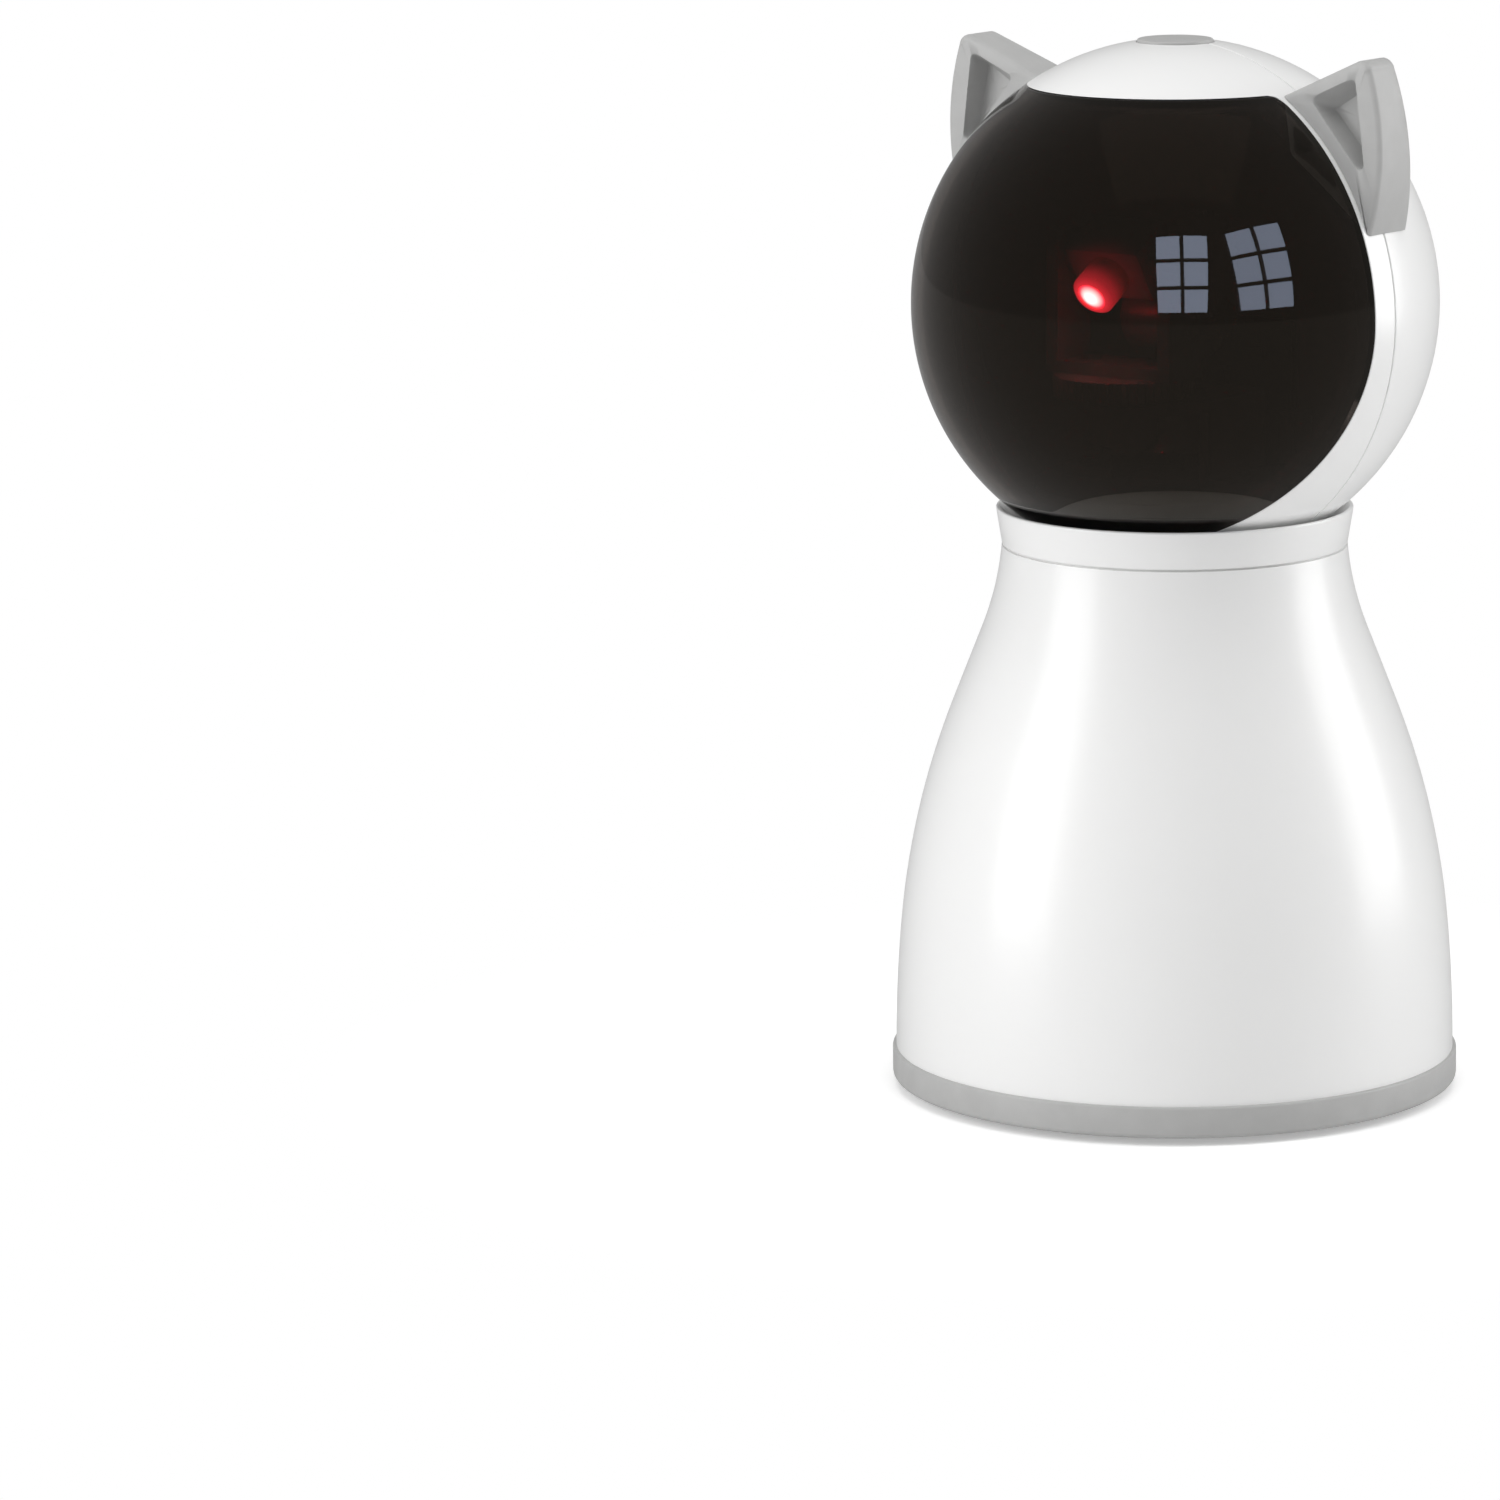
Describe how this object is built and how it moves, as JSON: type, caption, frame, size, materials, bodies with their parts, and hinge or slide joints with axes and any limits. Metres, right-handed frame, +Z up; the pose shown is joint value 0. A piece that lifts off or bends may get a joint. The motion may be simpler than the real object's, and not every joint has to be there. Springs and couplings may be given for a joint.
{
  "type": "automatic cat laser toy",
  "caption": "Automatic laser toy for cats: waisted white body, round turning head with dark visor and cat ears, press button on top.",
  "frame": {"origin": "on the ground under the middle of the base", "axes": "+Z up, -Y is the side the visor faces, +X to the toy's right-hand ear as seen from the front"},
  "size_m": [0.102, 0.102, 0.1891],
  "materials": {
    "white_shell": "gloss",
    "grey_trim": "satin",
    "dark_visor": "polished, smoked",
    "inner_plastic": "moulded",
    "rubber": "matte",
    "felt": "felt",
    "board_green": "solder mask",
    "component_black": "matte",
    "cell_wrap": "shrink film",
    "lead_jacket": "satin",
    "steel": "brushed",
    "screw_steel": "zinc plated",
    "brass": "turned",
    "gear_plastic": "moulded",
    "lens_glass": "clear"
  },
  "bodies": {
    "base": {"base_ring": "grey_trim", "bottom_cover": "inner_plastic", "rubber_feet": "rubber", "body_shell": "white_shell", "collar": "white_shell", "battery_cell": "cell_wrap", "battery_cradle": "inner_plastic", "main_board": "board_green", "board_components": "component_black", "charge_socket": "steel", "board_plug": "component_black", "neck_cable": "lead_jacket", "base_screws": "screw_steel", "cradle_screws": "screw_steel", "board_screws": "screw_steel", "collar_screws": "screw_steel"},
    "head": {"head_front_shell": "white_shell", "head_rear_shell": "white_shell", "visor": "dark_visor", "left_ear": "grey_trim", "right_ear": "grey_trim", "head_chassis": "inner_plastic", "friction_washer": "felt", "neck_retainer": "inner_plastic", "neck_plug": "inner_plastic", "head_board": "board_green", "head_board_components": "component_black", "head_lead": "lead_jacket", "mechanism_frame": "inner_plastic", "pan_motor": "steel", "button_board": "board_green", "tact_switch": "component_black", "shell_screws": "screw_steel", "retainer_screws": "screw_steel", "frame_screws": "screw_steel", "button_board_screws": "screw_steel", "pan_motor_screws": "screw_steel"},
    "button": {"power_button": "grey_trim", "switch_plunger": "component_black"},
    "pan_drive": {"pan_motor_shaft": "steel", "pan_pinion": "brass"},
    "pan_unit": {"pan_gear": "gear_plastic", "pan_clip": "steel", "pan_yoke": "inner_plastic", "yoke_screws": "screw_steel", "tilt_motor": "steel", "tilt_motor_screws": "screw_steel"},
    "tilt_drive": {"tilt_motor_shaft": "steel", "tilt_pinion": "brass"},
    "laser_unit": {"laser_cradle": "inner_plastic", "tilt_pins": "steel", "laser_module": "brass", "laser_lens": "lens_glass", "tilt_gear": "gear_plastic"}
  },
  "joints": [
    {"name": "head_turn", "type": "hinge", "parent": "base", "child": "head", "pos_m": [0, 0, 0.09569], "axis": [0, 0, 1], "range_deg": [-90, 90]},
    {"name": "button_press", "type": "slide", "parent": "head", "child": "button", "axis": [0, 0, -1], "range_m": [0, 0.0005], "stiffness_N_per_m": 1200},
    {"name": "laser_pan", "type": "hinge", "parent": "head", "child": "pan_unit", "pos_m": [0, -0.0156, 0.12599], "axis": [0, 0, 1], "range_deg": [-35, 35]},
    {"name": "pan_pinion_spin", "type": "hinge", "parent": "head", "child": "pan_drive", "pos_m": [0, -0.00054, 0.12599], "axis": [0, 0, 1], "range_deg": [-141, 141]},
    {"name": "laser_tilt", "type": "hinge", "parent": "pan_unit", "child": "laser_unit", "pos_m": [0, -0.0156, 0.15174], "axis": [1, 0, 0], "range_deg": [-16, 16]},
    {"name": "tilt_pinion_spin", "type": "hinge", "parent": "pan_unit", "child": "tilt_drive", "pos_m": [0.01325, -0.00957, 0.1413], "axis": [1, 0, 0], "range_deg": [-48.5, 48.5]}
  ],
  "couplings": [
    {"joint": "pan_pinion_spin", "follows": "laser_pan", "ratio": -4},
    {"joint": "tilt_pinion_spin", "follows": "laser_tilt", "ratio": -3}
  ]
}
